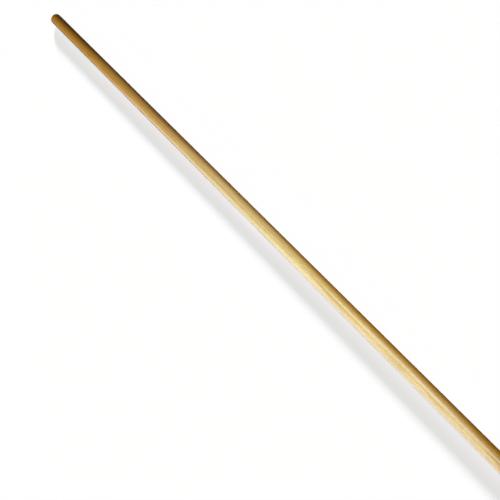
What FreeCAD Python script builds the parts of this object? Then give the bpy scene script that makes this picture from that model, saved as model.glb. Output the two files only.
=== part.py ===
import FreeCAD, Part
import os
import Sketcher

# A roller extension pole: a turned wooden shaft with a cast metal screw tip glued and nailed on one end.
# The pole lies along X on the floor, z = 0, with the tip at +X and the middle of its length over x = 0.
# Lengths are in millimetres. Each piece is drawn in a frame of its own, with its long axis through
# that frame's origin, and its Placement then moves it to its place in the pole.

VECTOR = FreeCAD.Vector

DRIVING_DIMENSIONS = {
    # Whole pole
    "overall_length": 1524.0,
    # Wooden shaft, with a thinner tenon that goes inside the tip
    "shaft_diameter": 23.8,
    "end_rounding": 5.0,
    "tenon_diameter": 20.4,
    "tenon_length": 37.4,
    "tenon_chamfer": 1.2,
    # Skirt of the tip, a slightly tapered tube round the tenon, with a plain band at its mouth
    "tip_length": 68.0,
    "mouth_diameter": 25.4,
    "mouth_band_length": 4.0,
    "mouth_rounding": 0.6,
    "waist_diameter": 24.2,
    "waist_distance": 33.0,
    "socket_diameter": 20.5,
    "socket_depth": 38.0,
    # Collar that the roller frame's handle screws up against
    "collar_diameter": 25.2,
    "collar_distance": 35.0,
    "collar_rounding": 0.6,
    "seat_distance": 40.0,
    # Screw thread, a 3/4 inch Acme form with five threads to the inch
    "thread_diameter": 19.05,
    "thread_pitch": 5.08,
    "thread_root_diameter": 13.46,
    "thread_root_width": 1.75,
    "thread_groove_width": 3.45,
    "thread_groove_depth": 3.3,
    "neck_diameter": 13.2,
    "neck_length": 4.0,
    "thread_start_bevel": 1.2,
    "nose_diameter": 14.2,
    "nose_bevel": 2.4,
    "core_hole_diameter": 7.2,
    "core_hole_end": 60.0,
    # Two nails, driven in from opposite sides through the skirt into the tenon
    "nail_diameter": 2.0,
    "nail_hole_diameter": 2.1,
    "nail_head_diameter": 4.0,
    "nail_head_height": 1.1,
    "nail_dome_height": 0.25,
    "nail_length": 11.0,
    "nail_point_length": 2.2,
    "nail_point_diameter": 0.3,
    "nail_top_height": 12.3,
    "nail_recess_clearance": 0.05,
    "left_nail_distance": 12.0,
    "right_nail_distance": 22.0,
}

# Which way each nail faces, as a turn about Z from +Y, and the dimension that places it along the tip
NAILS = {
    "left": (0.0, "left_nail_distance"),
    "right": (180.0, "right_nail_distance"),
}


class Size:
    """A length with both its value and the sheet expression that gives that value."""

    def __init__(self, value, text):
        self.value = value
        self.text = text

    def __add__(self, other):
        return Size(self.value + other.value, f"({self.text} + {other.text})")

    def __sub__(self, other):
        return Size(self.value - other.value, f"({self.text} - {other.text})")

    def __truediv__(self, number):
        return Size(self.value / number, f"{self.text} / {number}")


ZERO = Size(0.0, "0")


def make_sheet(doc):
    sheet = doc.addObject("Spreadsheet::Sheet", "Dimensions")
    for row, (alias, value) in enumerate(DRIVING_DIMENSIONS.items(), start=1):
        cell = f"A{row}"
        sheet.set(cell, str(value))
        sheet.setAlias(cell, alias)
    doc.recompute()


def size(alias):
    return Size(DRIVING_DIMENSIONS[alias], f"Dimensions.{alias}")


def new_body(doc, label):
    body = doc.addObject("PartDesign::Body", label)
    body.Label = label
    return body


def origin_plane(body, role):
    return next(item for item in body.Origin.OriginFeatures if item.Role == role)


def hold_point(sketch, direction, line, length, zero_axis):
    """Holds one coordinate of a line's first point: on an axis of the sketch, or at a length from it."""
    if length is ZERO:
        sketch.addConstraint(Sketcher.Constraint("PointOnObject", line, 1, zero_axis))
        return
    number = sketch.addConstraint(Sketcher.Constraint(direction, line, 1, length.value))
    sketch.setExpression(f"Constraints[{number}]", length.text)


def draw_outline(body, name, plane, corners):
    """Draws a closed outline of straight lines with every corner held by the sheet's dimensions."""
    sketch = body.newObject("Sketcher::SketchObject", name)
    sketch.AttachmentSupport = [(origin_plane(body, plane), "")]
    sketch.MapMode = "FlatFace"
    points = [VECTOR(along.value, across.value, 0) for along, across in corners]
    following = points[1:] + points[:1]
    for start, end in zip(points, following):
        sketch.addGeometry(Part.LineSegment(start, end), False)
    for line, (along, across) in enumerate(corners):
        next_line = (line + 1) % len(corners)
        sketch.addConstraint(Sketcher.Constraint("Coincident", line, 2, next_line, 1))
        hold_point(sketch, "DistanceX", line, along, -2)
        hold_point(sketch, "DistanceY", line, across, -1)
    return sketch


def revolve(body, kind, name, sketch, axis):
    feature = body.newObject(kind, name)
    feature.Profile = sketch
    feature.ReferenceAxis = (sketch, [axis])
    feature.Angle = 360.0
    return feature


def circles_at(feature, *wanted):
    """Names the round edges of a feature, each given by its distance along X and its diameter."""
    names = []
    for number, edge in enumerate(feature.Shape.Edges, start=1):
        if not isinstance(edge.Curve, Part.Circle):
            continue
        for distance, diameter in wanted:
            same_place = abs(edge.Curve.Center.x - distance.value) < 0.001
            same_size = abs(edge.Curve.Radius - diameter.value / 2) < 0.001
            if same_place and same_size:
                names.append(f"Edge{number}")
    assert len(names) == len(wanted), f"{feature.Name}: {names} found for {len(wanted)} edges"
    return names


def dress_edges(body, kind, name, base, edges, size_property, length):
    """Adds a fillet or a chamfer on some edges of a feature."""
    feature = body.newObject(kind, name)
    feature.Base = (base, edges)
    feature.setExpression(size_property, length.text)
    return feature


def cut_nail_hole(doc, body, side, along):
    """Cuts the hole and the countersink for one nail, square to the pole's axis."""
    turn, _ = NAILS[side]
    hole = size("nail_hole_diameter") / 2
    clearance = size("nail_recess_clearance")
    rim = size("nail_head_diameter") / 2 + clearance
    top = size("nail_top_height")
    neck = top - size("nail_head_height") - clearance
    outside = size("mouth_diameter") / 2
    corners = [(ZERO, ZERO), (hole, ZERO), (hole, neck), (rim, top), (rim, outside), (ZERO, outside)]
    sketch = draw_outline(body, f"{side}_nail_hole_outline", "XY_Plane", corners)
    sketch.AttachmentOffset = FreeCAD.Placement(
        VECTOR(along.value, 0, 0), FreeCAD.Rotation(VECTOR(0, 0, 1), turn)
    )
    sketch.setExpression(".AttachmentOffset.Base.x", along.text)
    doc.recompute()
    volume_before = body.Shape.Volume
    revolve(body, "PartDesign::Groove", f"{side}_nail_hole", sketch, "V_Axis")
    doc.recompute()
    assert body.Shape.Volume < volume_before - 1.0, f"{side} nail hole cuts nothing from {body.Name}"


def make_shaft(doc):
    """Wooden shaft: rounded over at one end, turned down to a tenon at the other."""
    body = new_body(doc, "pole_shaft")
    full = size("shaft_diameter") / 2
    tenon = size("tenon_diameter") / 2
    shoulder = size("overall_length") - size("tip_length")
    tenon_end = shoulder + size("tenon_length")
    corners = [
        (ZERO, ZERO),
        (ZERO, full),
        (shoulder, full),
        (shoulder, tenon),
        (tenon_end, tenon),
        (tenon_end, ZERO),
    ]
    outline = draw_outline(body, "shaft_outline", "XZ_Plane", corners)
    turned = revolve(body, "PartDesign::Revolution", "turned_shaft", outline, "H_Axis")
    doc.recompute()
    free_end = circles_at(turned, (ZERO, size("shaft_diameter")))
    rounded = dress_edges(
        body, "PartDesign::Fillet", "rounded_end", turned, free_end, "Radius", size("end_rounding")
    )
    doc.recompute()
    tenon_rim = circles_at(rounded, (tenon_end, size("tenon_diameter")))
    dress_edges(
        body, "PartDesign::Chamfer", "tenon_lead_in", rounded, tenon_rim, "Size", size("tenon_chamfer")
    )
    for side, (_, distance) in NAILS.items():
        cut_nail_hole(doc, body, side, shoulder + size(distance))
    return body


def cut_thread(doc, body):
    """Cuts the one long groove that leaves the thread, from the clear neck out past the nose."""
    middle = size("seat_distance") + size("neck_length") / 2
    root = size("thread_root_diameter") / 2
    half_root = size("thread_root_width") / 2
    half_mouth = size("thread_groove_width") / 2
    open_side = root + size("thread_groove_depth")
    corners = [
        (middle - half_root, root),
        (middle + half_root, root),
        (middle + half_mouth, open_side),
        (middle - half_mouth, open_side),
    ]
    sketch = draw_outline(body, "thread_groove_outline", "XZ_Plane", corners)
    doc.recompute()
    volume_before = body.Shape.Volume
    groove = body.newObject("PartDesign::SubtractiveHelix", "thread_groove")
    groove.Profile = sketch
    groove.ReferenceAxis = (sketch, ["H_Axis"])
    groove.Mode = "pitch-height-angle"
    groove.setExpression("Pitch", size("thread_pitch").text)
    groove.setExpression("Height", (size("tip_length") - size("seat_distance")).text)
    doc.recompute()
    assert body.Shape.Volume < volume_before - 1.0, "The thread groove cuts nothing"


def make_tip(doc):
    """Cast metal tip: a socket for the tenon, a collar with a flat seat, and the screw thread."""
    body = new_body(doc, "threaded_tip")
    socket = size("socket_diameter") / 2
    socket_end = size("socket_depth")
    core_hole = size("core_hole_diameter") / 2
    core_hole_end = size("core_hole_end")
    mouth = size("mouth_diameter") / 2
    waist = size("waist_diameter") / 2
    collar = size("collar_diameter") / 2
    seat = size("seat_distance")
    neck = size("neck_diameter") / 2
    thread_start = seat + size("neck_length")
    crest = size("thread_diameter") / 2
    nose_end = size("tip_length")
    nose = size("nose_diameter") / 2
    corners = [
        (ZERO, socket),
        (ZERO, mouth),
        (size("mouth_band_length"), mouth),
        (size("waist_distance"), waist),
        (size("collar_distance"), collar),
        (seat, collar),
        (seat, neck),
        (thread_start, neck),
        (thread_start + size("thread_start_bevel"), crest),
        (nose_end - size("nose_bevel"), crest),
        (nose_end, nose),
        (nose_end, ZERO),
        (core_hole_end, ZERO),
        (core_hole_end, core_hole),
        (socket_end, core_hole),
        (socket_end, socket),
    ]
    outline = draw_outline(body, "tip_outline", "XZ_Plane", corners)
    turned = revolve(body, "PartDesign::Revolution", "tip_blank", outline, "H_Axis")
    doc.recompute()
    mouth_rim = circles_at(turned, (ZERO, size("mouth_diameter")))
    rimmed = dress_edges(
        body, "PartDesign::Fillet", "rounded_mouth", turned, mouth_rim, "Radius", size("mouth_rounding")
    )
    doc.recompute()
    collar_rims = circles_at(
        rimmed,
        (size("collar_distance"), size("collar_diameter")),
        (seat, size("collar_diameter")),
    )
    dress_edges(
        body, "PartDesign::Fillet", "rounded_collar", rimmed, collar_rims, "Radius", size("collar_rounding")
    )
    doc.recompute()
    cut_thread(doc, body)
    for side, (_, distance) in NAILS.items():
        cut_nail_hole(doc, body, side, size(distance))
    return body


def make_nail(doc, side):
    """Nail, drawn along Y with its point near the pole's axis and its head outwards."""
    turn, _ = NAILS[side]
    body = new_body(doc, f"retaining_nail_{side}")
    shank = size("nail_diameter") / 2
    head = size("nail_head_diameter") / 2
    top = size("nail_top_height")
    dome_top = top + size("nail_dome_height")
    under_head = top - size("nail_head_height")
    point = top - size("nail_length")
    point_base = point + size("nail_point_length")
    corners = [
        (ZERO, point),
        (size("nail_point_diameter") / 2, point),
        (shank, point_base),
        (shank, under_head),
        (head, top),
        (head / 2, dome_top),
        (ZERO, dome_top),
    ]
    outline = draw_outline(body, f"{side}_nail_outline", "XY_Plane", corners)
    revolve(body, "PartDesign::Revolution", f"{side}_nail_form", outline, "V_Axis")
    body.Placement = FreeCAD.Placement(VECTOR(0, 0, 0), FreeCAD.Rotation(VECTOR(0, 0, 1), turn))
    return body


def place(body, along):
    """Moves a piece to its distance along X from the middle of the pole, and up off the floor."""
    body.setExpression(".Placement.Base.x", along.text)
    body.setExpression(".Placement.Base.z", (size("mouth_diameter") / 2).text)


def check(doc, bodies):
    """Stops the build if anything in the document failed or any piece isn't one good solid."""
    for item in doc.Objects:
        failed = {"Invalid", "Error"}.intersection(item.State)
        assert not failed, f"{item.Name} is {item.State}"
    for body in bodies:
        shape = body.Shape
        good = not shape.isNull() and shape.isValid() and len(shape.Solids) == 1
        assert good, f"{body.Label} isn't one valid solid"


def write_steps(bodies):
    os.makedirs("parts", exist_ok=True)
    for body in bodies:
        body.Shape.exportStep(f"parts/{body.Label}.step")
        box = body.Shape.optimalBoundingBox(False)
        low = f"{box.XMin:.2f} {box.YMin:.2f} {box.ZMin:.2f}"
        high = f"{box.XMax:.2f} {box.YMax:.2f} {box.ZMax:.2f}"
        print(f"{body.Label}: {body.Shape.Volume:.0f} mm3, from {low} to {high}")


def build():
    doc = FreeCAD.newDocument("extension_pole")
    make_sheet(doc)
    far_end = ZERO - size("overall_length") / 2
    mouth = size("overall_length") / 2 - size("tip_length")
    shaft = make_shaft(doc)
    place(shaft, far_end)
    tip = make_tip(doc)
    place(tip, mouth)
    bodies = [shaft, tip]
    for side, (_, distance) in NAILS.items():
        nail = make_nail(doc, side)
        place(nail, mouth + size(distance))
        bodies.append(nail)
    doc.recompute()
    check(doc, bodies)
    write_steps(bodies)


build()
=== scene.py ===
# %% [markdown]
# # A roller extension pole in lacquered wood
#
# The real object is a turned wooden rod, about as thick as a broom handle and five feet long. One end is
# rounded over for the hand. The other end is turned down to a thinner tenon, which is glued into a cast zinc
# tip with a coarse screw thread, and two small nails stop the tip from twisting off.
#
# The CAD model already says where each piece is and how large it is. This script keeps to those sizes and
# makes what the eye needs: soft edges, a true screw thread, wood grain, lacquer, cast metal and light.

# %% Load the frame
import math
import bmesh
import bpy
from mathutils import Matrix, Vector


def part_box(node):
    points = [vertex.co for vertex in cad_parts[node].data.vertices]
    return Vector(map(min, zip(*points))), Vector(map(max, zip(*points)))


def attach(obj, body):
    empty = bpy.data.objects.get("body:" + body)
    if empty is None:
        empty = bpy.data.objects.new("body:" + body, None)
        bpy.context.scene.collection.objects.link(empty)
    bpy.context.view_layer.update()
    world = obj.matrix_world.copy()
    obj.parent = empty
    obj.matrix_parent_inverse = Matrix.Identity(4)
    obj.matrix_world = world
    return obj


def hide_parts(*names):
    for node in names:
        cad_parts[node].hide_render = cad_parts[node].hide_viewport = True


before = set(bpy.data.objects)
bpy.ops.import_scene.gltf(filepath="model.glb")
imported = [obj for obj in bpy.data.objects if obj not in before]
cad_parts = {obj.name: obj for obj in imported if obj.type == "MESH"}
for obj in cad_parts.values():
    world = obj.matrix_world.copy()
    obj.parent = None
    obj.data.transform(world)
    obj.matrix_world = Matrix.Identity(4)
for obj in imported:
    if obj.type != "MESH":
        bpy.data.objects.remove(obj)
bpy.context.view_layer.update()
print("CAD nodes:", sorted(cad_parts))

# %% [markdown]
# ## Sizes
#
# Every place along the pole is read from the CAD pieces, so the pieces made here can't drift away from them.
# The pole lies along X. Its axis is a little over 12 mm above the floor, which is at z = 0.
# Small sizes that the boxes don't tell, such as the thread's pitch, are written out in millimetres.

# %% Read the sizes
MM = 0.001
shaft_low, shaft_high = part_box("pole_shaft")
tip_low, tip_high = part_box("threaded_tip")
FREE_END = shaft_low.x
TENON_END = shaft_high.x
MOUTH = tip_low.x
NOSE = tip_high.x
AXIS_HEIGHT = (tip_low.z + tip_high.z) / 2
SHAFT_RADIUS = (shaft_high.z - shaft_low.z) / 2
MOUTH_RADIUS = (tip_high.z - tip_low.z) / 2
print(f"shaft {(MOUTH - FREE_END) / MM:.0f} mm long and {2 * SHAFT_RADIUS / MM:.1f} mm thick")

# %% [markdown]
# ## Writing node trees as sums
#
# Both shapes and materials are made with nodes, and much of a node tree is arithmetic. Placing a Math node
# for every plus and times makes long code that hides the formula. So a Wire stands for a number on its way
# through a tree, and the signs + - * / between wires add the Math nodes.

# %% A wire that can be added and multiplied
def plug(tree, value, socket):
    """Links a wire or a socket to an input, or sets the input to a plain value."""
    if isinstance(value, Wire):
        tree.links.new(value.socket, socket)
    elif isinstance(value, bpy.types.NodeSocket):
        tree.links.new(value, socket)
    else:
        socket.default_value = value


class Wire:
    """A number on its way through a node tree."""

    def __init__(self, tree, socket):
        self.tree = tree
        self.socket = socket

    def math(self, operation, *others):
        node = self.tree.nodes.new("ShaderNodeMath")
        node.operation = operation
        for value, socket in zip((self, *others), node.inputs):
            plug(self.tree, value, socket)
        return Wire(self.tree, node.outputs[0])

    def __add__(self, other):
        return self.math("ADD", other)

    def __sub__(self, other):
        return self.math("SUBTRACT", other)

    def __mul__(self, other):
        return self.math("MULTIPLY", other)

    def __truediv__(self, other):
        return self.math("DIVIDE", other)

    def between(self, low, high, to_low=0.0, to_high=1.0):
        """Eases from to_low to to_high while this number goes from low to high."""
        node = self.tree.nodes.new("ShaderNodeMapRange")
        node.interpolation_type = "SMOOTHSTEP"
        for value, socket in zip((self, low, high, to_low, to_high), node.inputs):
            plug(self.tree, value, socket)
        return Wire(self.tree, node.outputs[0])


print("wires ready")

# %% Add nodes and start trees
def add_node(tree, kind, inputs=(), **settings):
    """Adds a node, sets its options and plugs values into its inputs, given by name or number."""
    node = tree.nodes.new(kind)
    for name, value in settings.items():
        setattr(node, name, value)
    for key, value in dict(inputs).items():
        plug(tree, value, node.inputs[key])
    return node


def split(tree, vector):
    """The X, Y and Z of a vector, each on its own wire."""
    return [Wire(tree, part) for part in add_node(tree, "ShaderNodeSeparateXYZ", {0: vector}).outputs]


def new_tree(name, kind, inputs, outputs):
    """Starts a node tree with named inputs and outputs, each given as (name, type, default)."""
    tree = bpy.data.node_groups.new(name, kind)
    for direction, sockets in (("INPUT", inputs), ("OUTPUT", outputs)):
        for socket_name, socket_type, default in sockets:
            item = tree.interface.new_socket(
                socket_name, in_out=direction, socket_type="NodeSocket" + socket_type
            )
            if default is not None:
                item.default_value = default
    return tree, tree.nodes.new("NodeGroupInput"), tree.nodes.new("NodeGroupOutput")


def new_shape_tree(name, inputs):
    """Starts a tree that gives back geometry."""
    return new_tree(name, "GeometryNodeTree", inputs, [("Geometry", "Geometry", None)])


def use_group(tree, group, inputs):
    """Places a node group inside another tree."""
    kind = "GeometryNodeGroup" if tree.bl_idname == "GeometryNodeTree" else "ShaderNodeGroup"
    return add_node(tree, kind, inputs, node_tree=group)


print("node helpers ready")

# %% [markdown]
# ## Outlines with rounded corners
#
# A turned piece is half of its outline spun round its axis. On a real piece no corner is sharp: sandpaper
# rounds wood, and molten metal can't fill a sharp corner of a mould. So an outline here is a list of corners,
# each with its own rounding radius, and every corner is replaced by a true arc. Straight runs are divided
# evenly, because a smooth-shaded surface needs rows of points next to its curves.

# %% Round the corners of an outline
ARC_STEPS = 6


def round_corner(before, corner, after, radius):
    """Points on the arc of a given radius that touches both lines that meet in a corner."""
    back = (before - corner).normalized()
    ahead = (after - corner).normalized()
    half_angle = back.angle(ahead) / 2
    reach = radius / math.tan(half_angle)
    centre = corner + (back + ahead).normalized() * radius / math.sin(half_angle)
    start = corner + back * reach - centre
    end = corner + ahead * reach - centre
    spokes = [start.slerp(end, step / ARC_STEPS) for step in range(ARC_STEPS + 1)]
    return [centre + spoke.normalized() * radius for spoke in spokes]


def outline_points(corners, spacing):
    """Turns corners (x, radius from the axis, rounding) into closely spaced points."""
    places = [Vector((x, 0.0, r)) for x, r, _ in corners]
    stops = [places[0]]
    for index in range(1, len(corners) - 1):
        rounding = corners[index][2]
        if rounding:
            stops += round_corner(*places[index - 1 : index + 2], rounding)
        else:
            stops.append(places[index])
    stops.append(places[-1])
    points = [stops[0]]
    for start, end in zip(stops, stops[1:]):
        pieces = max(1, math.ceil((end - start).length / spacing))
        points += [start.lerp(end, piece / pieces) for piece in range(1, pieces + 1)]
    return points


print("a rounded corner takes", ARC_STEPS + 1, "points")

# %% Make an outline a draft object
def outline_object(name, points, screw_rows=range(0)):
    """A line of points as a draft object, with the distance run and the screw rows marked on the points."""
    mesh = bpy.data.meshes.new(name)
    mesh.from_pydata(points, [(i, i + 1) for i in range(len(points) - 1)], [])
    run = [0.0]
    for start, end in zip(points, points[1:]):
        run.append(run[-1] + (end - start).length)
    distance = mesh.attributes.new("run", "FLOAT", "POINT")
    screw = mesh.attributes.new("screw_row", "FLOAT", "POINT")
    for index, length in enumerate(run):
        distance.data[index].value = length / run[-1]
        screw.data[index].value = float(index in screw_rows)
    draft = bpy.data.objects.new(name, mesh)
    bpy.context.scene.collection.objects.link(draft)
    return draft


print("outline helpers ready")

# %% [markdown]
# ## A lathe made of nodes
#
# Blender has a Spin tool and a Screw modifier for turned shapes. Geometry Nodes suit this object better: one
# tree can turn every piece, it can lay the flat map for the textures at the same time, and the thread can be
# added between the turning and the welding.
#
# The lathe starts with a flat grid that has one row for each point of the outline. It wraps the grid round
# the axis, so the first and last columns meet. The map, named OFBake, lays the surface out flat. A pole is
# far too long for a square image, so its map is cut into strips that lie side by side. The end of the map
# stays free, for the faces that a drill adds later.

# %% Read and store values on points
def named_number(tree, name):
    """Reads a number that is stored on the points under a name."""
    return Wire(tree, add_node(tree, "GeometryNodeInputNamedAttribute", {"Name": name}).outputs[0])


def outline_value(tree, outline, row, value, data_type):
    """Reads a value from the outline's point that belongs to a row of the grid."""
    inputs = {"Geometry": outline, "Value": value, "Index": row}
    return add_node(tree, "GeometryNodeSampleIndex", inputs, data_type=data_type).outputs["Value"]


def store(tree, geometry, name, value, domain="POINT", data_type="FLOAT"):
    """Stores a value on the geometry under a name."""
    kind = "GeometryNodeStoreNamedAttribute"
    inputs = {"Geometry": geometry, "Name": name, "Value": value}
    return add_node(tree, kind, inputs, data_type=data_type, domain=domain).outputs["Geometry"]


def on_axis(tree, along, radius, around, height):
    """The position at a distance along the axis, a radius, and a share of a turn from +Y towards +Z."""
    angle = around * math.tau
    y = radius * angle.math("COSINE")
    z = radius * angle.math("SINE") + height
    return add_node(tree, "ShaderNodeCombineXYZ", {"X": along, "Y": y, "Z": z}).outputs[0]


print("point helpers ready")

# %% Build the lathe
MAP_MARGIN = 0.006
MAP_LENGTH = 0.965
PLAIN_COLUMNS = 64


def lathe_inputs(columns, strips=1, axis_height=AXIS_HEIGHT):
    """The inputs that the lathe and every tree round it have."""
    return [
        ("Outline", "Geometry", None),
        ("Columns", "Int", columns),
        ("Strips", "Int", strips),
        ("Axis Height", "Float", axis_height),
    ]


def build_lathe():
    tree, source, result = new_shape_tree("turn_on_lathe", lathe_inputs(PLAIN_COLUMNS, axis_height=0.0))
    outline = source.outputs["Outline"]
    columns = Wire(tree, source.outputs["Columns"])
    strips = Wire(tree, source.outputs["Strips"])
    size = add_node(tree, "GeometryNodeAttributeDomainSize", {"Geometry": outline}, component="MESH")
    grid = add_node(
        tree,
        "GeometryNodeMeshGrid",
        {"Vertices X": size.outputs["Point Count"], "Vertices Y": columns + 1.0},
    )
    index = Wire(tree, tree.nodes.new("GeometryNodeInputIndex").outputs[0])
    row = (index / (columns + 1.0)).math("FLOOR")
    around = (index - row * (columns + 1.0)) / columns
    geometry = store(tree, grid.outputs["Mesh"], "around", around)
    for name in ("run", "screw_row"):
        value = outline_value(tree, outline, row, named_number(tree, name), "FLOAT")
        geometry = store(tree, geometry, name, value)
    place = tree.nodes.new("GeometryNodeInputPosition").outputs[0]
    point = outline_value(tree, outline, row, place, "FLOAT_VECTOR")
    place_along, _, radius = split(tree, point)
    position = on_axis(tree, place_along, radius, around, source.outputs["Axis Height"])
    moved = add_node(tree, "GeometryNodeSetPosition", {"Geometry": geometry, "Position": position})
    outward = add_node(tree, "GeometryNodeFlipFaces", {0: moved.outputs[0]})
    run = named_number(tree, "run") * strips
    middle = add_node(tree, "GeometryNodeFieldOnDomain", {0: run}, data_type="FLOAT", domain="FACE")
    strip = Wire(tree, middle.outputs[0]).math("FLOOR")
    across = (named_number(tree, "around") * (1.0 - 2.0 * MAP_MARGIN) + MAP_MARGIN + strip) / strips
    along = (run - strip) * MAP_LENGTH + MAP_MARGIN
    flat = add_node(tree, "ShaderNodeCombineXYZ", {"X": along, "Y": across}).outputs[0]
    mapped = store(tree, outward.outputs[0], "OFBake", flat, "CORNER", "FLOAT2")
    plug(tree, mapped, result.inputs["Geometry"])
    return tree


lathe = build_lathe()


def turn_outline(tree, source):
    """Places the lathe in a tree and hands it the tree's own inputs."""
    names = ("Outline", "Columns", "Strips", "Axis Height")
    return use_group(tree, lathe, {name: source.outputs[name] for name in names}).outputs[0]


print("lathe has", len(lathe.nodes), "nodes")

# %% [markdown]
# The grid's first and last columns lie on each other, and the rows at both ends of the outline shrink to a
# point on the axis. Merge by Distance welds them, which closes the surface, and then it is shaded smooth.
# Every tree ends in the same two nodes: Realize Instances, which makes sure that all of it is real mesh, and
# Set Material.

# %% Weld and finish
WELD = 0.002 * MM


def weld(tree, geometry):
    """Closes a turned surface and shades it smooth."""
    welded = add_node(tree, "GeometryNodeMergeByDistance", {"Geometry": geometry, "Distance": WELD})
    return add_node(tree, "GeometryNodeSetShadeSmooth", {0: welded.outputs[0]}).outputs[0]


def finish_tree(tree, geometry, source, result):
    """Ends a tree: real mesh only, with the material that the tree was given."""
    real = add_node(tree, "GeometryNodeRealizeInstances", {0: geometry})
    inputs = {"Geometry": real.outputs[0], "Material": source.outputs["Material"]}
    coloured = add_node(tree, "GeometryNodeSetMaterial", inputs)
    plug(tree, coloured.outputs[0], result.inputs["Geometry"])


print(f"points closer than {WELD / MM:.3f} mm are welded")

# %% Run a tree and show the result
def run_nodes(draft, tree, values):
    """Runs a Geometry Nodes tree on a draft and returns the result as a plain new mesh."""
    modifier = draft.modifiers.new("nodes", "NODES")
    modifier.node_group = tree
    for item in tree.interface.items_tree:
        if item.in_out == "INPUT" and item.name in values:
            modifier[item.identifier] = values[item.name]
    depsgraph = bpy.context.evaluated_depsgraph_get()
    mesh = bpy.data.meshes.new_from_object(draft.evaluated_get(depsgraph))
    bpy.data.objects.remove(draft)
    return mesh


def print_mesh(name, mesh):
    """Prints how large a mesh is and how well it is closed."""
    form = bmesh.new()
    form.from_mesh(mesh)
    open_edges = sum(len(edge.link_faces) != 2 for edge in form.edges)
    triangles = sum(len(face.verts) - 2 for face in form.faces)
    volume = form.calc_volume(signed=True) / MM**3
    form.free()
    print(f"{name}: {triangles} triangles, {open_edges} open edges, {volume:.0f} mm3")


def make_piece(name, mesh):
    """Shows a mesh as a named piece."""
    mesh.name = name
    piece = bpy.data.objects.new(name, mesh)
    bpy.context.scene.collection.objects.link(piece)
    print_mesh(name, mesh)
    return piece


print("piece helpers ready")

# %% [markdown]
# ## The wooden shaft
#
# The shaft is a long straight rod, so its outline has only a few corners: the rounded free end, the shoulder
# and the tenon. Wood is never as smooth as plastic. Soft spring growth sands away a little more than hard
# summer growth, and leaves ridges a few hundredths of a millimetre high that run with the grain. They are
# too fine to see one by one, but they bend the reflections, so the tree pushes the surface out and in by a
# noise that is stretched along X.

# %% Build the shaft's tree
SHAFT_COLUMNS = 80
SHAFT_MAP_STRIPS = 3
RIDGE_HEIGHT = 0.04 * MM
RIDGE_LENGTH = 90.0 * MM
RIDGE_WIDTH = 2.4 * MM
NOISE_AT_FULL_SIZE = 0.6


def build_shaft_tree():
    tree, source, result = new_shape_tree(
        "turned_shaft",
        [
            *lathe_inputs(SHAFT_COLUMNS, SHAFT_MAP_STRIPS),
            ("Ridge Height", "Float", RIDGE_HEIGHT),
            ("Material", "Material", None),
        ],
    )
    turned = turn_outline(tree, source)
    place = tree.nodes.new("GeometryNodeInputPosition").outputs[0]
    stretch = (1.0 / RIDGE_LENGTH, 1.0 / RIDGE_WIDTH, 1.0 / RIDGE_WIDTH)
    scaled = add_node(tree, "ShaderNodeVectorMath", {0: place, 1: stretch}, operation="MULTIPLY")
    ridges = add_node(tree, "ShaderNodeTexNoise", {"Vector": scaled.outputs[0], "Scale": 1.0})
    push = (Wire(tree, ridges.outputs[0]) - NOISE_AT_FULL_SIZE) * source.outputs["Ridge Height"]
    normal = tree.nodes.new("GeometryNodeInputNormal").outputs[0]
    offset = add_node(tree, "ShaderNodeVectorMath", {0: normal, "Scale": push}, operation="SCALE")
    inputs = {"Geometry": weld(tree, turned), "Offset": offset.outputs[0]}
    ridged = add_node(tree, "GeometryNodeSetPosition", inputs)
    finish_tree(tree, ridged.outputs[0], source, result)
    return tree


print(f"ridges stand up to {RIDGE_HEIGHT / MM:.2f} mm high")

# %% Turn the shaft
SHAFT_ROW_SPACING = 2.1 * MM
END_ROUNDING = 5.0 * MM
SHOULDER_ROUNDING = 0.3 * MM
TENON_RADIUS = 10.2 * MM
TENON_LEAD_IN = 1.2 * MM


def turn_shaft(material):
    corners = [
        (FREE_END, 0.0, 0.0),
        (FREE_END, SHAFT_RADIUS, END_ROUNDING),
        (MOUTH, SHAFT_RADIUS, SHOULDER_ROUNDING),
        (MOUTH, TENON_RADIUS, 0.0),
        (TENON_END - TENON_LEAD_IN, TENON_RADIUS, 0.0),
        (TENON_END, TENON_RADIUS - TENON_LEAD_IN, 0.0),
        (TENON_END, 0.0, 0.0),
    ]
    outline = outline_object("shaft_outline", outline_points(corners, SHAFT_ROW_SPACING))
    mesh = run_nodes(outline, build_shaft_tree(), {"Material": material})
    return make_piece("wooden_shaft", mesh)


print(f"tenon is {(TENON_END - MOUTH) / MM:.1f} mm long and {2 * TENON_RADIUS / MM:.1f} mm thick")

# %% [markdown]
# ## The cast tip and its thread
#
# The tip is one zinc casting: a socket for the tenon, a collar, and a coarse thread with five turns to the
# inch. A thread can be carved with a Boolean or drawn with the Screw modifier, but both leave ragged ends.
# Here the rows of the grid that cover the thread slide along the axis as they go round, one pitch for a full
# turn. Row and column lines then follow the thread's own edges. Where a row would slide past the
# end of the thread it stops there, and the weld collects the stopped points.
#
# The height of each point follows from its distance to the middle of the groove: low in the groove, high on
# the crest, and a smooth step between them. Smooth Minimum then trims both ends of the thread to a bevel.

# %% Cut the thread
PITCH = 5.08 * MM
CREST_RADIUS = 9.525 * MM
ROOT_RADIUS = 6.73 * MM
ROOT_HALF_WIDTH = 0.8 * MM
CREST_GAP_HALF_WIDTH = 1.68 * MM
NECK_RADIUS = 6.6 * MM
NOSE_RADIUS = 7.1 * MM
SEAT = MOUTH + 40.0 * MM
THREAD_START = SEAT + 4.0 * MM
THREAD_BEVEL = 1.2 * MM
NOSE_BEVEL = 2.4 * MM
SOFTNESS = 0.35 * MM
GROOVE_MIDDLE = SEAT + 2.0 * MM
QUARTER_TURN = 0.25


def bevel(along, start, reach, low, high):
    """A radius that rises from low to high over a distance, and keeps rising beyond it."""
    return (along - start) * ((high - low) / reach) + low


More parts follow.
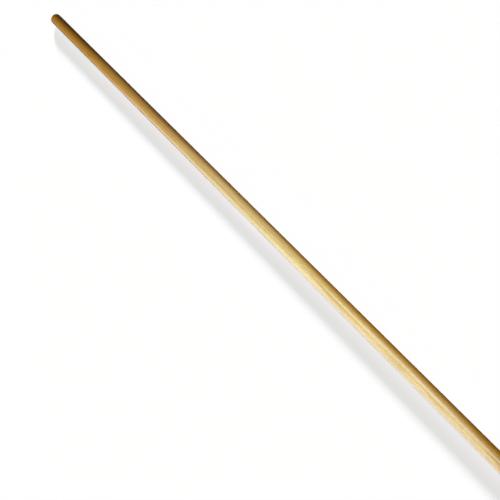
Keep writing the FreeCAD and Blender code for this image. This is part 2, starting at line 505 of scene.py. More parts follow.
def build_thread():
    tree, source, result = new_shape_tree(
        "cut_thread",
        [
            ("Geometry", "Geometry", None),
            ("Pitch", "Float", PITCH),
            ("Crest Radius", "Float", CREST_RADIUS),
            ("Root Radius", "Float", ROOT_RADIUS),
            ("Axis Height", "Float", AXIS_HEIGHT),
        ],
    )
    pitch = Wire(tree, source.outputs["Pitch"])
    crest = Wire(tree, source.outputs["Crest Radius"])
    root = Wire(tree, source.outputs["Root Radius"])
    around = named_number(tree, "around")
    place = tree.nodes.new("GeometryNodeInputPosition").outputs[0]
    slid = split(tree, place)[0] + around * pitch
    along = slid.math("MAXIMUM", THREAD_START).math("MINIMUM", NOSE)
    from_groove = along - (around - QUARTER_TURN) * pitch - GROOVE_MIDDLE
    half = pitch * 0.5
    distance = from_groove.math("WRAP", half, half * -1.0).math("ABSOLUTE")
    radius = distance.between(ROOT_HALF_WIDTH, CREST_GAP_HALF_WIDTH, root, crest)
    first = bevel(along, THREAD_START, THREAD_BEVEL, NECK_RADIUS, CREST_RADIUS)
    last = bevel(along, NOSE, -NOSE_BEVEL, NOSE_RADIUS, CREST_RADIUS)
    for limit in (first, last):
        radius = radius.math("SMOOTH_MIN", limit, SOFTNESS)
    position = on_axis(tree, along, radius, around, source.outputs["Axis Height"])
    inputs = {
        "Geometry": source.outputs["Geometry"],
        "Selection": named_number(tree, "screw_row").math("GREATER_THAN", 0.5),
        "Position": position,
    }
    cut = add_node(tree, "GeometryNodeSetPosition", inputs)
    plug(tree, cut.outputs[0], result.inputs["Geometry"])
    return tree


thread = build_thread()
print(f"thread of {(NOSE - THREAD_START) / PITCH:.1f} turns")

# %% [markdown]
# A die-cast piece comes out of a mould in two halves, and the metal creeps a little way into the joint. It
# leaves a fine raised line along both sides of the piece, which a tumbler wears down but doesn't remove. The
# tree lifts the points that lie near the plane between the two halves.

# %% Build the tip's tree
TIP_COLUMNS = 144
SOCKET_RADIUS = 10.25 * MM
FLASH_HEIGHT = 0.07 * MM
FLASH_HALF_WIDTH = 0.35 * MM
FLASH_STARTS = SOCKET_RADIUS * 1.02
FLASH_IS_FULL = SOCKET_RADIUS * 1.1


def build_tip_tree():
    tree, source, result = new_shape_tree(
        "cast_tip",
        [
            *lathe_inputs(TIP_COLUMNS),
            ("Flash Height", "Float", FLASH_HEIGHT),
            ("Material", "Material", None),
        ],
    )
    inputs = {"Geometry": turn_outline(tree, source), "Axis Height": source.outputs["Axis Height"]}
    threaded = use_group(tree, thread, inputs)
    place = tree.nodes.new("GeometryNodeInputPosition").outputs[0]
    _, y, z = split(tree, place)
    from_joint = y.math("ABSOLUTE")
    above = z - source.outputs["Axis Height"]
    outside = above.math("ABSOLUTE").between(FLASH_STARTS, FLASH_IS_FULL)
    lift = from_joint.between(0.0, FLASH_HALF_WIDTH, source.outputs["Flash Height"], 0.0) * outside
    direction = add_node(tree, "ShaderNodeCombineXYZ", {"Z": above.math("SIGN") * lift})
    inputs = {"Geometry": weld(tree, threaded.outputs[0]), "Offset": direction.outputs[0]}
    lifted = add_node(tree, "GeometryNodeSetPosition", inputs)
    finish_tree(tree, lifted.outputs[0], source, result)
    return tree


print(f"parting line stands {FLASH_HEIGHT / MM:.2f} mm high")

# %% Cast the tip
TIP_ROW_SPACING = 0.5 * MM
ROWS_PER_PITCH = 30
MOUTH_BAND = 4.0 * MM
WAIST = MOUTH + 33.0 * MM
WAIST_RADIUS = 12.1 * MM
COLLAR = MOUTH + 35.0 * MM
COLLAR_RADIUS = 12.6 * MM
SOCKET_FLOOR = MOUTH + 38.0 * MM
CORE_HOLE_RADIUS = 3.6 * MM
CORE_HOLE_END = MOUTH + 60.0 * MM
EDGE_ROUNDING = 0.6 * MM
FINE_ROUNDING = 0.25 * MM


def cast_tip(material):
    socket_and_skirt = [
        (CORE_HOLE_END, 0.0, 0.0),
        (CORE_HOLE_END, CORE_HOLE_RADIUS, FINE_ROUNDING),
        (SOCKET_FLOOR, CORE_HOLE_RADIUS, FINE_ROUNDING),
        (SOCKET_FLOOR, SOCKET_RADIUS, 0.0),
        (MOUTH, SOCKET_RADIUS, FINE_ROUNDING),
        (MOUTH, MOUTH_RADIUS, EDGE_ROUNDING),
        (MOUTH + MOUTH_BAND, MOUTH_RADIUS, 0.0),
        (WAIST, WAIST_RADIUS, EDGE_ROUNDING),
        (COLLAR, COLLAR_RADIUS, EDGE_ROUNDING),
        (SEAT, COLLAR_RADIUS, EDGE_ROUNDING),
        (SEAT, NECK_RADIUS, EDGE_ROUNDING),
        (THREAD_START, NECK_RADIUS, 0.0),
    ]
    points = outline_points(socket_and_skirt, TIP_ROW_SPACING)
    first_screw_row = len(points)
    step = PITCH / ROWS_PER_PITCH
    rows = math.ceil((NOSE - THREAD_START + PITCH) / step) + 1
    start = THREAD_START - PITCH
    points += [Vector((start + row * step, 0.0, CREST_RADIUS)) for row in range(rows)]
    screw_rows = range(first_screw_row, len(points))
    points += outline_points([(NOSE, NOSE_RADIUS - SOFTNESS, 0.0), (NOSE, 0.0, 0.0)], TIP_ROW_SPACING)
    outline = outline_object("tip_outline", points, screw_rows)
    mesh = run_nodes(outline, build_tip_tree(), {"Material": material})
    return make_piece("cast_tip", mesh)


print(f"tip is {(NOSE - MOUTH) / MM:.0f} mm long, with its seat {(NOSE - SEAT) / MM:.0f} mm behind the nose")

# %% [markdown]
# ## Nails and the holes they sit in
#
# Each nail is a small lathe job of its own, turned along X and then laid across the pole. A Boolean modifier
# drills the hole and its countersink out of the tip and out of the wood. The drill is turned from an outline
# too, a hair wider than the nail, so the head sits down in the metal as it does after the last hammer blow.

# %% Turn small pieces
NAIL_COLUMNS = 40
NAIL_ROW_SPACING = 0.5 * MM
NAIL_SIDES = {"left": 1.0, "right": -1.0}


def across_pole(side):
    """Turns +X to point out of the pole on one side, at that side's nail."""
    low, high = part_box(f"retaining_nail_{side}")
    place = Vector(((low.x + high.x) / 2, 0.0, AXIS_HEIGHT))
    turn = Matrix.Rotation(NAIL_SIDES[side] * math.pi / 2, 4, "Z")
    return Matrix.Translation(place) @ turn


def build_plain_turning():
    tree, source, result = new_shape_tree(
        "plain_turning",
        [*lathe_inputs(NAIL_COLUMNS, axis_height=0.0), ("Material", "Material", None)],
    )
    finish_tree(tree, weld(tree, turn_outline(tree, source)), source, result)
    return tree


plain_turning = build_plain_turning()


def turn_small(name, corners, material):
    """Turns a small piece along X, round the X axis itself."""
    outline = outline_object(name, outline_points(corners, NAIL_ROW_SPACING))
    return run_nodes(outline, plain_turning, {"Material": material})


print("a small piece has", NAIL_COLUMNS, "columns")

# %% Drill the nail holes
NAIL_RADIUS = 1.0 * MM
NAIL_HEAD_RADIUS = 2.0 * MM
HEAD_TOP = 12.3 * MM
HEAD_HEIGHT = 1.1 * MM
HOLE_CLEARANCE = 0.05 * MM
DRILL_TOP = 14.0 * MM
SHARP_ANGLE = math.radians(38)
DRILL_MAP_SIZE = 0.012
DRILL_MAP_CORNER = 0.982


def drill_corners():
    hole = NAIL_RADIUS + HOLE_CLEARANCE
    rim = NAIL_HEAD_RADIUS + HOLE_CLEARANCE
    neck = HEAD_TOP - HEAD_HEIGHT - HOLE_CLEARANCE
    return [
        (0.0, 0.0, 0.0),
        (0.0, hole, 0.0),
        (neck, hole, 0.0),
        (HEAD_TOP, rim, 0.0),
        (DRILL_TOP, rim, 0.0),
        (DRILL_TOP, 0.0, 0.0),
    ]


def drill_nail_holes(piece, material):
    """Cuts both nail holes out of a piece. The new faces use the free end of the piece's flat map."""
    for side in NAIL_SIDES:
        mesh = turn_small("drill", drill_corners(), material)
        mesh.transform(across_pole(side))
        for corner in mesh.uv_layers["OFBake"].uv:
            corner.vector = corner.vector * DRILL_MAP_SIZE + Vector((DRILL_MAP_CORNER,) * 2)
        drill = bpy.data.objects.new("drill", mesh)
        bpy.context.scene.collection.objects.link(drill)
        modifier = piece.modifiers.new("nail_hole", "BOOLEAN")
        modifier.object = drill
        modifier.solver = "EXACT"
        depsgraph = bpy.context.evaluated_depsgraph_get()
        drilled = bpy.data.meshes.new_from_object(piece.evaluated_get(depsgraph))
        piece.modifiers.clear()
        piece.data = drilled
        bpy.data.objects.remove(drill)
    piece.data.name = piece.name
    piece.data.set_sharp_from_angle(angle=SHARP_ANGLE)
    print_mesh(piece.name + " drilled", piece.data)
    return piece


print(f"nail drill is {2 * (NAIL_RADIUS + HOLE_CLEARANCE) / MM:.1f} mm wide")

# %% Make the nails
NAIL_POINT = 1.3 * MM
NAIL_POINT_LENGTH = 2.2 * MM
NAIL_POINT_RADIUS = 0.15 * MM
POINT_ROUNDING = 0.3 * MM
NECK_ROUNDING = 0.1 * MM
RIM_WIDTH = 0.1 * MM
RIM_HEIGHT = 0.05 * MM
RIM_ROUNDING = 0.08 * MM
DOME_HEIGHT = 0.25 * MM
DOME_ROUNDING = 1.5 * MM


def make_nail(side, material):
    corners = [
        (NAIL_POINT, 0.0, 0.0),
        (NAIL_POINT, NAIL_POINT_RADIUS, 0.0),
        (NAIL_POINT + NAIL_POINT_LENGTH, NAIL_RADIUS, POINT_ROUNDING),
        (HEAD_TOP - HEAD_HEIGHT, NAIL_RADIUS, NECK_ROUNDING),
        (HEAD_TOP - RIM_WIDTH, NAIL_HEAD_RADIUS, RIM_ROUNDING),
        (HEAD_TOP + RIM_HEIGHT, NAIL_HEAD_RADIUS - RIM_WIDTH, RIM_ROUNDING),
        (HEAD_TOP + DOME_HEIGHT, NAIL_HEAD_RADIUS / 2, DOME_ROUNDING),
        (HEAD_TOP + DOME_HEIGHT, 0.0, 0.0),
    ]
    mesh = turn_small(f"nail_{side}", corners, material)
    mesh.transform(across_pole(side))
    return make_piece(f"nail_{side}", mesh)


print(f"nail is {(HEAD_TOP + DOME_HEIGHT - NAIL_POINT) / MM:.1f} mm long")

# %% [markdown]
# ## Effects that the materials share
#
# Wood, zinc and steel age in the same ways: they get fine scratches from handling, small pits, and bright
# worn edges. Each of these is a node group, built once, and each material places it with its own sizes. The
# groups give back only masks and heights. The shader itself stays in the material.

# %% Helpers for materials
def object_place(tree, size=(1.0, 1.0), offset=(0.0, 0.0, 0.0)):
    """Object coordinates, counted in units of a length along the pole and a width across it."""
    place = tree.nodes.new("ShaderNodeTexCoord").outputs["Object"]
    length, width = size
    scale = (1.0 / length, 1.0 / width, 1.0 / width)
    mapping = add_node(tree, "ShaderNodeMapping", {"Vector": place, "Location": offset, "Scale": scale})
    return mapping.outputs[0]


def noise(tree, vector, detail=2.0, roughness=0.5):
    inputs = {"Vector": vector, "Scale": 1.0, "Detail": detail, "Roughness": roughness}
    return Wire(tree, add_node(tree, "ShaderNodeTexNoise", inputs).outputs[0])


def grain(tree, size, detail=2.0, roughness=0.5):
    """Noise whose grains have a length along the pole and a width across it."""
    return noise(tree, object_place(tree, size), detail, roughness)


def blend(tree, amount, first, second, kind="MIX"):
    """Mixes two colours by an amount."""
    inputs = {0: amount, 6: first, 7: second}
    return add_node(tree, "ShaderNodeMix", inputs, data_type="RGBA", blend_type=kind).outputs[2]


def effect(tree, group, **inputs):
    """Places a shared effect in a material and returns its output."""
    return Wire(tree, use_group(tree, group, inputs).outputs[0])


def bump(tree, shader, height, depth, strength=1.0):
    inputs = {"Height": height, "Distance": depth, "Strength": strength}
    plug(tree, add_node(tree, "ShaderNodeBump", inputs).outputs[0], shader.inputs["Normal"])


def start_material(name, **fixed):
    """A new material with one Principled shader. Sockets that stay even are set on the shader itself."""
    material = bpy.data.materials.new(name)
    material.use_nodes = True
    tree = material.node_tree
    tree.nodes.clear()
    output = tree.nodes.new("ShaderNodeOutputMaterial")
    shader = tree.nodes.new("ShaderNodeBsdfPrincipled")
    tree.links.new(shader.outputs[0], output.inputs[0])
    for setting, value in fixed.items():
        shader.inputs[setting.replace("_", " ")].default_value = value
    return material, tree, shader


print("material helpers ready")

# %% Build the shared effects
MARK_TURN = (0.3, 0.5, 0.4)
MARK_STRETCH = (9.0, 0.7, 0.7)


def build_handling_marks():
    """Fine scratches that run mostly across the pole, as hands and racks leave them."""
    tree, source, result = new_tree(
        "handling_marks",
        "ShaderNodeTree",
        [("Vector", "Vector", None), ("Amount", "Float", 0.5)],
        [("Mask", "Float", None)],
    )
    vector = source.outputs["Vector"]
    slant = add_node(tree, "ShaderNodeMapping", {"Vector": vector, "Rotation": MARK_TURN})
    inputs = {0: slant.outputs[0], 1: MARK_STRETCH}
    thin = add_node(tree, "ShaderNodeVectorMath", inputs, operation="MULTIPLY")
    lines = noise(tree, thin.outputs[0], 3.0, 0.6).between(0.62, 0.7)
    patches = noise(tree, vector, 1.0).between(0.45, 0.7)
    plug(tree, lines * patches * source.outputs["Amount"], result.inputs["Mask"])
    return tree


def build_fine_pits():
    """Small round pits: the height of the surface, from 0 in a pit to 1 outside it."""
    tree, source, result = new_tree(
        "fine_pits",
        "ShaderNodeTree",
        [("Vector", "Vector", None), ("Share", "Float", 0.3)],
        [("Height", "Float", None)],
    )
    cells = add_node(tree, "ShaderNodeTexVoronoi", {"Vector": source.outputs["Vector"], "Scale": 1.0})
    chance = add_node(tree, "ShaderNodeSeparateColor", {0: cells.outputs["Color"]}).outputs[0]
    chosen = Wire(tree, source.outputs["Share"]).math("GREATER_THAN", chance)
    bowl = Wire(tree, cells.outputs["Distance"]).between(0.1, 0.42)
    plug(tree, bowl * chosen - chosen + 1.0, result.inputs["Height"])
    return tree


def build_edge_wear():
    """How much an outside edge is worn, broken up so that the wear isn't even."""
    tree, source, result = new_tree(
        "edge_wear",
        "ShaderNodeTree",
        [("Vector", "Vector", None), ("Amount", "Float", 1.0)],
        [("Mask", "Float", None)],
    )
    bend = Wire(tree, tree.nodes.new("ShaderNodeNewGeometry").outputs["Pointiness"])
    edge = bend.between(0.505, 0.56)
    broken = noise(tree, source.outputs["Vector"], 4.0, 0.65).between(0.3, 0.65)
    plug(tree, edge * broken * source.outputs["Amount"], result.inputs["Mask"])
    return tree


handling_marks = build_handling_marks()
fine_pits = build_fine_pits()
edge_wear = build_edge_wear()
print("shared effects:", [group.name for group in (handling_marks, fine_pits, edge_wear)])

# %% [markdown]
# ## Lacquered wood
# The pith sits on the side away from the light, so its darker heartwood is partly painted shade there.
#
# A flat picture of grain wrapped round a rod would show a seam and smeared ends. Solid wood is easier to
# believe when it is worked out in three dimensions, because the surface then cuts through it as a lathe
# does. A tree adds a ring each year round its pith. The rod was cut well away from the pith, so its rings are
# gently curved layers. Where the surface runs along a layer they show as long arches, where it crosses them
# they show as straight lines, and on the end they show as arcs. The side nearer the pith is heartwood, which
# is darker than the sapwood outside it.
#
# On top of the rings lie long fibres, short flecks and dark pores. The amber lacquer is a clear coat with its
# own reflection. Towards the free end the wood's colour is painted a deeper amber, as painted shade that
# darkens that end. Its coat is thinner there too.

# %% Grow the rings
# The pith is set on the side away from the light, so the darker heartwood paints shade on that side.
PITH_PLACE = (0.0, 36.0 * MM, AXIS_HEIGHT - 21.0 * MM)
PITH_WANDER = 9.0 * MM
PITH_WANDER_SIZE = (330.0 * MM, 400.0 * MM)
HEART_RADIUS = 44.5 * MM
SAP_RADIUS = 53.0 * MM
RING_WIDTH = 1.7 * MM
RING_RIPPLE = 1.5 * MM
RING_RIPPLE_SIZE = (120.0 * MM, 8.0 * MM)
PALEST_RING = 0.4


def growth_rings(tree):
    """How dark each ring is, from 0 in spring growth to 1 in summer growth, and the share of sapwood."""
    _, y, z = split(tree, object_place(tree, offset=tuple(-part for part in PITH_PLACE)))
    slow = object_place(tree, PITH_WANDER_SIZE)
    drift = add_node(tree, "ShaderNodeTexNoise", {"Vector": slow, "Scale": 1.0, "Detail": 1.0})
    drift_y, drift_z, _ = split(tree, drift.outputs["Color"])
    y = y + drift_y * PITH_WANDER
    z = z + drift_z * PITH_WANDER
    radius = (y * y + z * z).math("SQRT") + grain(tree, RING_RIPPLE_SIZE) * RING_RIPPLE
    years = radius / RING_WIDTH
    season = years.math("FRACT")
    year = add_node(tree, "ShaderNodeTexWhiteNoise", {"W": years.math("FLOOR")}, noise_dimensions="1D")
    strength = Wire(tree, year.outputs["Value"]) * (1.0 - PALEST_RING) + PALEST_RING
    dark = season.between(0.45, 0.93) * season.between(0.95, 1.0, 1.0, 0.0) * strength
    return dark, radius.between(HEART_RADIUS, SAP_RADIUS)


print(f"rings are {RING_WIDTH / MM:.1f} mm wide")

# %% Make the wood
FIBRE = (48.0 * MM, 0.33 * MM)
STREAK = (240.0 * MM, 1.9 * MM)
PORE = (6.0 * MM, 0.24 * MM)
FLECK = (7.0 * MM, 1.5 * MM)
END_SHADE_PATCH = (300.0 * MM, 40.0 * MM)
COAT_CLOUD = (60.0 * MM, 20.0 * MM)
WOOD_MARK = (9.0 * MM, 4.0 * MM)
# The amber colours are painted shade: they darken the wood towards the free end.
PALE_AMBER = (0.71, 0.385, 0.039, 1.0)
DARK_AMBER = (0.52, 0.240, 0.011, 1.0)
PALE_HONEY = (0.71, 0.600, 0.265, 1.0)
DARK_HONEY = (0.455, 0.315, 0.096, 1.0)
# Heartwood tones, multiplied in: partly painted shade on the side away from the light, darkest at the free
# end.
HEART_SHADE_AMBER = (0.42, 0.33, 0.70, 1.0)
HEART_SHADE_HONEY = (0.82, 0.44, 0.06, 1.0)
PORE_BROWN = (0.20, 0.092, 0.023, 1.0)
END_PALE = (0.39, 0.210, 0.066, 1.0)
END_DARK = (0.16, 0.070, 0.022, 1.0)
AMBER_UNTIL = -0.60
HONEY_FROM = 0.16
END_SHADE_PATCHINESS = 0.25
RING_DARKNESS = 0.5
FIBRE_DARKNESS = 0.42
STREAK_DARKNESS = 0.2
FLECK_DARKNESS = 0.2
FLECK_PALENESS = 0.06
COAT_THIN, COAT_THICK = 0.42, 0.62
COAT_ON_AMBER, COAT_ON_HONEY = 0.7, 1.2
WOOD_RELIEF = 0.03 * MM


def make_wood():
    material, tree, shader = start_material(
        "lacquered_wood", Coat_Roughness=0.16, Coat_IOR=1.5, Specular_IOR_Level=0.12
    )
    rings, sapwood = growth_rings(tree)
    fibres = grain(tree, FIBRE, 3.0, 0.6)
    pores = grain(tree, PORE, 0.0).between(0.66, 0.74) * (rings * -0.6 + 1.0)
    streaks = grain(tree, STREAK).between(0.35, 0.7, 0.0, STREAK_DARKNESS)
    flecks = grain(tree, FLECK, 1.0).between(0.35, 0.7, -FLECK_PALENESS, FLECK_DARKNESS)
    darkness = rings * RING_DARKNESS + fibres.between(0.3, 0.75, 0.0, FIBRE_DARKNESS) + streaks
    darkness = (darkness + flecks).math("MINIMUM", 1.0).math("MAXIMUM", 0.0)

    along = split(tree, object_place(tree))[0]
    # A ramp along the pole: painted shade, a deeper amber towards the free end. It also thins the coat there.
    shade_and_coat_ramp = (along + grain(tree, END_SHADE_PATCH) * END_SHADE_PATCHINESS).between(AMBER_UNTIL, HONEY_FROM)
    pale = blend(tree, shade_and_coat_ramp, PALE_AMBER, PALE_HONEY)
    dark = blend(tree, shade_and_coat_ramp, DARK_AMBER, DARK_HONEY)
    colour = blend(tree, darkness, pale, dark)
    # Heartwood tone, which is partly painted shade on the side away from the light.
    heart_and_shade = blend(tree, shade_and_coat_ramp, HEART_SHADE_AMBER, HEART_SHADE_HONEY)
    colour = blend(tree, sapwood * -1.0 + 1.0, colour, heart_and_shade, "MULTIPLY")
    colour = blend(tree, pores * 0.6, colour, PORE_BROWN)

    facing = tree.nodes.new("ShaderNodeTexCoord").outputs["Normal"]
    end_grain = split(tree, facing)[0].math("ABSOLUTE").between(0.55, 0.97)
    end_tone = (rings * 0.9 + pores * 0.8 + fibres.between(0.3, 0.75, 0.0, 0.3)).math("MINIMUM", 1.0)
    colour = blend(tree, end_grain * 0.85, colour, blend(tree, end_tone, END_PALE, END_DARK))
    plug(tree, colour, shader.inputs["Base Color"])
    plug(tree, pores * 0.2 + fibres * 0.12 + 0.34, shader.inputs["Roughness"])

    marks = effect(tree, handling_marks, Vector=object_place(tree, WOOD_MARK), Amount=0.5)
    clouds = grain(tree, COAT_CLOUD).between(0.2, 0.7, COAT_THIN, COAT_THICK)
    coat = (clouds - marks * 0.5) * (end_grain * -0.5 + 1.0)
    coat = coat * shade_and_coat_ramp.between(0.0, 1.0, COAT_ON_AMBER, COAT_ON_HONEY)
    plug(tree, coat, shader.inputs["Coat Weight"])
    bump(tree, shader, fibres * 0.4 - pores - marks * 0.4, WOOD_RELIEF, 0.5)
    return material


wood = make_wood()
print("wood material has", len(wood.node_tree.nodes), "nodes")

# %% [markdown]
# ## Cast zinc and nail steel
#
# Fresh zinc alloy is a blue-grey metal with a soft shine. Tumbling rounds its edges and leaves a skin of tiny
# pits and dents. Hands and roller handles polish the crests and the collar's edge, and dirt stays in the root
# of the thread. The nails are plain drawn wire, brighter than the casting, with a first bloom of rust.

# %% Make the zinc
ZINC = (0.62, 0.63, 0.64, 1.0)
ZINC_SKIN = (0.44, 0.445, 0.455, 1.0)
BRIGHT_METAL = (0.78, 0.785, 0.79, 1.0)
THREAD_DIRT = (0.10, 0.095, 0.085, 1.0)
SKIN_PATCH = (7.0 * MM, 5.0 * MM)
ZINC_GRAIN = (0.7 * MM, 0.7 * MM)
ZINC_WEAR = (2.0 * MM, 2.0 * MM)
ZINC_MARK = (5.0 * MM, 2.5 * MM)
DIRT_STARTS = SEAT + 0.2 * MM
DIRT_ENDS = CREST_RADIUS - 0.6 * MM
ZINC_RELIEF = 0.05 * MM


def make_zinc():
    material, tree, shader = start_material("cast_zinc")
    skin = grain(tree, SKIN_PATCH, 4.0, 0.6).between(0.3, 0.7)
    specks = grain(tree, ZINC_GRAIN, 3.0, 0.6)
    pits = effect(tree, fine_pits, Vector=object_place(tree, ZINC_GRAIN), Share=0.3)
    polish = effect(tree, edge_wear, Vector=object_place(tree, ZINC_WEAR), Amount=0.9)
    marks = effect(tree, handling_marks, Vector=object_place(tree, ZINC_MARK), Amount=0.8)
    x, y, z = split(tree, object_place(tree, offset=(0.0, 0.0, -AXIS_HEIGHT)))
    radius = (y * y + z * z).math("SQRT")
    dirt = radius.between(ROOT_RADIUS, DIRT_ENDS, 1.0, 0.0) * x.math("GREATER_THAN", DIRT_STARTS)
    dirt = dirt * specks.between(0.25, 0.6, 0.5, 1.0)
    colour = blend(tree, skin * 0.7, ZINC, ZINC_SKIN)
    colour = blend(tree, (polish + marks * 0.6).math("MINIMUM", 1.0), colour, BRIGHT_METAL)
    colour = blend(tree, dirt * 0.75, colour, THREAD_DIRT)
    plug(tree, colour, shader.inputs["Base Color"])
    plug(tree, dirt * -0.7 + 1.0, shader.inputs["Metallic"])
    rough = skin * 0.12 + specks * 0.1 - polish * 0.15 + dirt * 0.3 + 0.36
    plug(tree, rough, shader.inputs["Roughness"])
    bump(tree, shader, pits * 0.6 + specks * 0.5 - marks * 0.5, ZINC_RELIEF, 0.55)
    return material


zinc = make_zinc()
print("zinc material has", len(zinc.node_tree.nodes), "nodes")

# %% Make the nail steel
STEEL = (0.50, 0.49, 0.475, 1.0)
STEEL_DULL = (0.30, 0.285, 0.27, 1.0)
RUST = (0.24, 0.10, 0.04, 1.0)
STEEL_GRAIN = (0.4 * MM, 0.4 * MM)
STEEL_MARK = (1.0 * MM, 1.0 * MM)
RUST_PATCH = (1.3 * MM, 1.3 * MM)
STEEL_RELIEF = 0.03 * MM


def make_steel():
    material, tree, shader = start_material("nail_steel", Metallic=1.0)
    fine = object_place(tree, STEEL_GRAIN)
    dull = noise(tree, fine, 4.0, 0.6).between(0.35, 0.65)
    pits = effect(tree, fine_pits, Vector=fine, Share=0.4)
    bright = effect(tree, edge_wear, Vector=fine, Amount=0.7)
    marks = effect(tree, handling_marks, Vector=object_place(tree, STEEL_MARK), Amount=1.0)
    bloom = grain(tree, RUST_PATCH, 3.0).between(0.55, 0.75)
    colour = blend(tree, dull * 0.8, STEEL, STEEL_DULL)
    colour = blend(tree, bloom * 0.55, colour, RUST)
    colour = blend(tree, bright, colour, BRIGHT_METAL)
    plug(tree, colour, shader.inputs["Base Color"])
    plug(tree, dull * 0.15 + bloom * 0.3 + 0.28, shader.inputs["Roughness"])
    bump(tree, shader, pits * 0.5 - marks, STEEL_RELIEF, 0.6)
    return material


steel = make_steel()
print("steel material has", len(steel.node_tree.nodes), "nodes")

# %% [markdown]
# ## Put the pole together
#
# Each finished piece takes over from its CAD node, which stays hidden behind it for weight and collisions.
# Nothing on this pole moves, so every piece rides on the same body.

# %% Make and join the pieces
shaft = drill_nail_holes(turn_shaft(wood), wood)
tip = drill_nail_holes(cast_tip(zinc), zinc)
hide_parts("pole_shaft")
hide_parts("threaded_tip")
nails = [make_nail(side, steel) for side in NAIL_SIDES]
for nail, side in zip(nails, NAIL_SIDES):
    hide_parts(f"retaining_nail_{side}")
pole_pieces = [shaft, tip, *nails]
for piece in pole_pieces:
    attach(piece, "root")
print("pieces:", [piece.name for piece in pole_pieces])

# %% [markdown]
# ## Floor, light and camera
#
# The pole lies on a plain pale floor. A shiny rod shows whatever surrounds it as bands along its length, so
# the surroundings matter more than any lamp. Here the world is a soft tent, bright on the camera's side of
# the pole and dim on the other. That gives the rod its pale side and its dark side.
#
# Light linking lets a lamp reach only some objects, so that the pole and the floor are lit apart, as if each
# had a studio of its own. The floor is a grey sheet that no reflection shows. Strong lamps make it white, and
# a low one behind the pole throws its soft shadow forward.

# %% Set up the camera
CAMERA_LENS = 50.0
CAMERA_SENSOR = 36.0
CAMERA_PLACE = Vector((0.5576, -0.4794, 1.0))
CAMERA_PITCH = math.radians(55.0)
CAMERA_HEADING = math.radians(38.3)

heading = Vector((-math.cos(CAMERA_HEADING), math.sin(CAMERA_HEADING), 0.0))
looking = heading * math.cos(CAMERA_PITCH) - Vector((0.0, 0.0, math.sin(CAMERA_PITCH)))
camera = bpy.data.objects.new("camera", bpy.data.cameras.new("camera"))
camera.data.lens = CAMERA_LENS
camera.data.sensor_width = CAMERA_SENSOR
camera.location = CAMERA_PLACE
camera.rotation_euler = looking.to_track_quat("-Z", "Y").to_euler()
bpy.context.scene.collection.objects.link(camera)
bpy.context.scene.camera = camera
print("camera looks along", [round(part, 3) for part in looking])

# %% Lay the floor
FLOOR_SIZE = 12.0
FLOOR_GREY = (0.1, 0.1, 0.1, 1.0)


def lay_floor():
    half = FLOOR_SIZE / 2
    corners = [(-half, -half, 0.0), (half, -half, 0.0), (half, half, 0.0), (-half, half, 0.0)]
    mesh = bpy.data.meshes.new("floor")
    mesh.from_pydata(corners, [], [(0, 1, 2, 3)])
    floor = bpy.data.objects.new("floor", mesh)
    material, tree, shader = start_material("floor_sheet", Roughness=1.0, Specular_IOR_Level=0.0)
    shader.inputs["Base Color"].default_value = FLOOR_GREY
    mesh.materials.append(material)
    floor.visible_diffuse = False
    floor.visible_glossy = False
    floor.visible_shadow = False
    bpy.context.scene.collection.objects.link(floor)
    return floor


floor = lay_floor()
print("floor is", FLOOR_SIZE, "m wide")

# %% [markdown]
# The key light of the pole is a wide disk above the camera's side. Haze is a lamp that adds only gloss, the
# milky band that a window leaves on lacquer. Two weak lamps at the back keep the far side of the wood and of
# the metal from going black. The floor casts no shadow, so haze and one of the back lamps can shine up
# through it.
#
# The floor is washed evenly from above. The bounce is a narrow strip inside the pole, for the little light
# that the pole's bright side throws back on to the floor next to it.

# %% Put up the tent
TENT_SIDE = Vector((0.1, -1.0, 0.0))
TENT_BRIGHT = 1.0
TENT_DIM = 0.026
TENT_EDGE = 0.2
TENT_FULL = 1.2
DIM_COLOUR = (1.0, 0.62, 0.35, 1.0)
WHITE = (1.0, 1.0, 1.0, 1.0)


def make_tent():
    """World light that eases from dim to bright towards one side. The camera sees it as plain white."""
    world = bpy.data.worlds.new("soft_tent")
    world.use_nodes = True
    tree = world.node_tree
    tree.nodes.clear()
    direction = tree.nodes.new("ShaderNodeTexCoord").outputs["Generated"]
    side = TENT_SIDE.normalized()
    facing = add_node(tree, "ShaderNodeVectorMath", {0: direction, 1: side}, operation="DOT_PRODUCT")
    share = Wire(tree, facing.outputs["Value"]).between(TENT_EDGE, TENT_FULL)
    seen = Wire(tree, tree.nodes.new("ShaderNodeLightPath").outputs["Is Camera Ray"])
    colour = blend(tree, share.math("MAXIMUM", seen), DIM_COLOUR, WHITE)
    level = share * (TENT_BRIGHT - TENT_DIM) + TENT_DIM
    strength = level + seen * (level * -1.0 + 1.0)
    light = add_node(tree, "ShaderNodeBackground", {"Color": colour, "Strength": strength})
    output = tree.nodes.new("ShaderNodeOutputWorld")
    tree.links.new(light.outputs[0], output.inputs[0])
    bpy.context.scene.world = world


make_tent()
print("the tent goes from", TENT_DIM, "to", TENT_BRIGHT)

# %% Light the pole
KEY_PLACE = (0.2, -0.39, 0.655)
KEY_POWER = 6.5
KEY_SIZE = 0.7
HAZE_FROM = (0.15, -0.85, -0.55)
HAZE_POWER = 7.2
HAZE_SPREAD = math.radians(110)
BACK_FROM = (-0.45, 0.75, -0.5)
BACK_POWER = 2.2
BACK_SPREAD = math.radians(70)
BACK_GLOSS_FROM = (-0.2, 0.8, 0.3)
BACK_GLOSS_POWER = 1.6
BACK_GLOSS_SPREAD = math.radians(120)


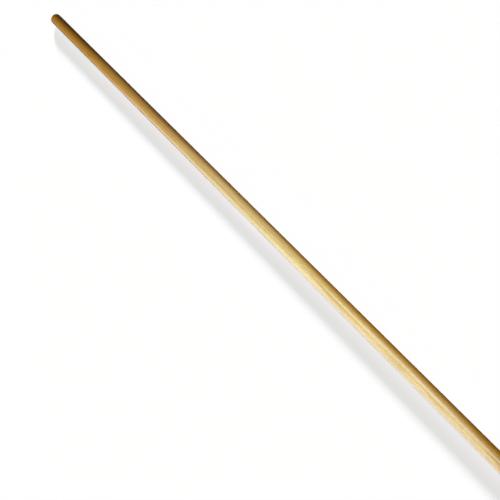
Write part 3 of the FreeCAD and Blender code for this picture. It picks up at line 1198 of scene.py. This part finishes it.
def hang_lamp(name, kind, source, power, reached, target=(0.0, 0.0, 0.0), **settings):
    """A lamp that shines from one place towards another, on some objects only."""
    data = bpy.data.lights.new(name, kind)
    data.energy = power
    lamp = bpy.data.objects.new(name, data)
    for setting, value in settings.items():
        setattr(lamp if setting.startswith("visible") else data, setting, value)
    source = Vector(source)
    lamp.location = source
    lamp.rotation_euler = (Vector(target) - source).to_track_quat("-Z", "Y").to_euler()
    group = bpy.data.collections.new(name + "_reaches")
    for lit in reached:
        group.objects.link(lit)
    lamp.light_linking.receiver_collection = group
    bpy.context.scene.collection.objects.link(lamp)


hang_lamp("key", "AREA", KEY_PLACE, KEY_POWER, pole_pieces, shape="DISK", size=KEY_SIZE)
hang_lamp("haze", "SUN", HAZE_FROM, HAZE_POWER, [shaft], angle=HAZE_SPREAD, visible_diffuse=False)
hang_lamp("back", "SUN", BACK_FROM, BACK_POWER, [shaft], angle=BACK_SPREAD, visible_glossy=False)
hang_lamp("back_gloss", "SUN", BACK_GLOSS_FROM, BACK_GLOSS_POWER, [tip, *nails], angle=BACK_GLOSS_SPREAD)

# %% Light the floor
FLOOR_LIGHT = 31.0
SHADOW_SHARE = 0.26
SHADOW_BEARING = math.radians(66)
SHADOW_HEIGHT = math.radians(14.5)
SHADOW_SOFTNESS = math.radians(6.5)
BOUNCE_POWER = 0.115
BOUNCE_WIDTH = 6.0 * MM
BOUNCE_SIDE = -9.0 * MM
BOUNCE_HEIGHT = 8.5 * MM


def light_floor():
    even = FLOOR_LIGHT * (1.0 - SHADOW_SHARE)
    slanted = FLOOR_LIGHT * SHADOW_SHARE / math.sin(SHADOW_HEIGHT)
    behind = (-math.sin(SHADOW_BEARING), math.cos(SHADOW_BEARING), math.tan(SHADOW_HEIGHT))
    hang_lamp("floor_wash", "SUN", (0.0, 0.0, 1.0), even, [floor], use_shadow=False)
    hang_lamp("low_sun", "SUN", behind, slanted, [floor], angle=SHADOW_SOFTNESS)
    middle = (FREE_END + MOUTH) / 2
    strip = {"shape": "RECTANGLE", "size": MOUTH - FREE_END, "size_y": BOUNCE_WIDTH, "use_shadow": False}
    source = (middle, BOUNCE_SIDE, BOUNCE_HEIGHT)
    target = (middle, BOUNCE_SIDE, 0.0)
    hang_lamp("bounce", "AREA", source, BOUNCE_POWER, [floor], target, visible_camera=False, **strip)


light_floor()
bpy.context.scene.view_settings.view_transform = "Standard"
